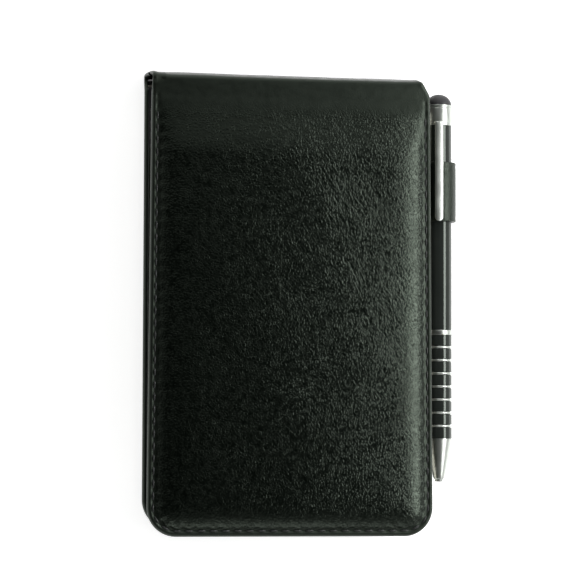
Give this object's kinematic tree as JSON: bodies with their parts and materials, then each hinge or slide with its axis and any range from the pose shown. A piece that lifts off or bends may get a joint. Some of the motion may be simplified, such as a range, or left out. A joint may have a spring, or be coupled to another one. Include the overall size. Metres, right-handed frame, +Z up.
{
  "type": "pocket notebook",
  "caption": "Flip-top pocket jotter: padded black leather cover, tear-off pad held in a slot, card pockets, and a twist stylus pen carried in a side loop.",
  "frame": {"origin": "centre of the back cover's outer face, which rests on the table", "axes": "+X across the cover to the pen, +Y along the cover to the spine, +Z up from the back cover to the front cover"},
  "size_m": [0.0869, 0.1263, 0.016],
  "materials": {
    "leather": "glossy black coated leather with a fine grain",
    "lining": "matt black woven lining",
    "board": "grey pressed board",
    "thread": "black waxed thread",
    "paper": "smooth ivory writing paper with pale ruled lines",
    "binding_tape": "black textured binding tape",
    "foam": "soft open foam",
    "rubber": "soft satin rubber",
    "chrome": "polished chrome plate",
    "lacquer": "glossy black lacquer",
    "brass": "turned brass",
    "plastic": "white moulded plastic",
    "steel": "plain steel"
  },
  "bodies": {
    "back_cover": {"back_skin": "leather", "back_board": "board", "back_lining": "lining", "pad_pocket": "leather", "back_stitching": "thread", "pen_loop": "leather", "pad_backing_card": "board", "page_block": "paper", "pad_binding_tape": "binding_tape"},
    "spine": {"spine_skin": "leather", "spine_lining": "lining"},
    "front_cover": {"front_skin": "leather", "front_padding": "foam", "front_board": "board", "front_lining": "lining", "card_pocket_large": "leather", "card_pocket_small": "leather", "front_stitching": "thread"},
    "leaf_1": {"leaf_1": "paper"},
    "leaf_2": {"leaf_2": "paper"},
    "leaf_3": {"leaf_3": "paper"},
    "pen_upper": {"stylus_dome": "rubber", "pen_top_ring": "chrome", "pen_clip_collar": "chrome", "upper_barrel": "lacquer", "twist_guide_tube": "brass", "centre_ring": "chrome"},
    "pen_clip": {"pen_clip": "chrome"},
    "pen_lower": {"lower_barrel": "lacquer", "grip_rings": "chrome", "nose_cone": "chrome", "twist_helix_sleeve": "brass"},
    "pen_refill": {"refill_carrier": "plastic", "refill_tube": "steel", "refill_tip": "brass", "writing_ball": "steel"}
  },
  "joints": [
    {"name": "spine_fold", "type": "hinge", "parent": "back_cover", "child": "spine", "pos_m": [0, 0.0615, 0.0012], "axis": [-1, 0, 0], "range_deg": [0, 90]},
    {"name": "cover_fold", "type": "hinge", "parent": "spine", "child": "front_cover", "pos_m": [0, 0.0597, 0.0132], "axis": [-1, 0, 0], "range_deg": [0, 90]},
    {"name": "leaf_1_turn", "type": "hinge", "parent": "back_cover", "child": "leaf_1", "pos_m": [0, 0.0463, 0.0091], "axis": [-1, 0, 0], "range_deg": [0, 180]},
    {"name": "leaf_2_turn", "type": "hinge", "parent": "back_cover", "child": "leaf_2", "pos_m": [0, 0.0463, 0.0091], "axis": [-1, 0, 0], "range_deg": [0, 180]},
    {"name": "leaf_3_turn", "type": "hinge", "parent": "back_cover", "child": "leaf_3", "pos_m": [0, 0.0463, 0.0091], "axis": [-1, 0, 0], "range_deg": [0, 180]},
    {"name": "pen_slide", "type": "slide", "parent": "back_cover", "child": "pen_upper", "axis": [0, 1, 0], "range_m": [0, 0.092]},
    {"name": "clip_spring", "type": "hinge", "parent": "pen_upper", "child": "pen_clip", "pos_m": [0.04185, 0.0493, 0.01107], "axis": [-1, 0, 0], "range_deg": [0, 5], "stiffness_Nm_per_rad": 0.5},
    {"name": "pen_twist", "type": "hinge", "parent": "pen_upper", "child": "pen_lower", "pos_m": [0.0431, -0.0084, 0.00575], "axis": [0, -1, 0], "range_deg": [0, 180]},
    {"name": "refill_slide", "type": "slide", "parent": "pen_upper", "child": "pen_refill", "axis": [0, -1, 0], "range_m": [0, 0.0035]}
  ],
  "couplings": [
    {"joint": "cover_fold", "follows": "spine_fold", "ratio": 1},
    {"joint": "leaf_1_turn", "follows": "spine_fold", "ratio": 1.97},
    {"joint": "leaf_2_turn", "follows": "spine_fold", "ratio": 1.98},
    {"joint": "leaf_3_turn", "follows": "spine_fold", "ratio": 1.99},
    {"joint": "refill_slide", "follows": "pen_twist", "m_per_rad": 0.001114}
  ]
}
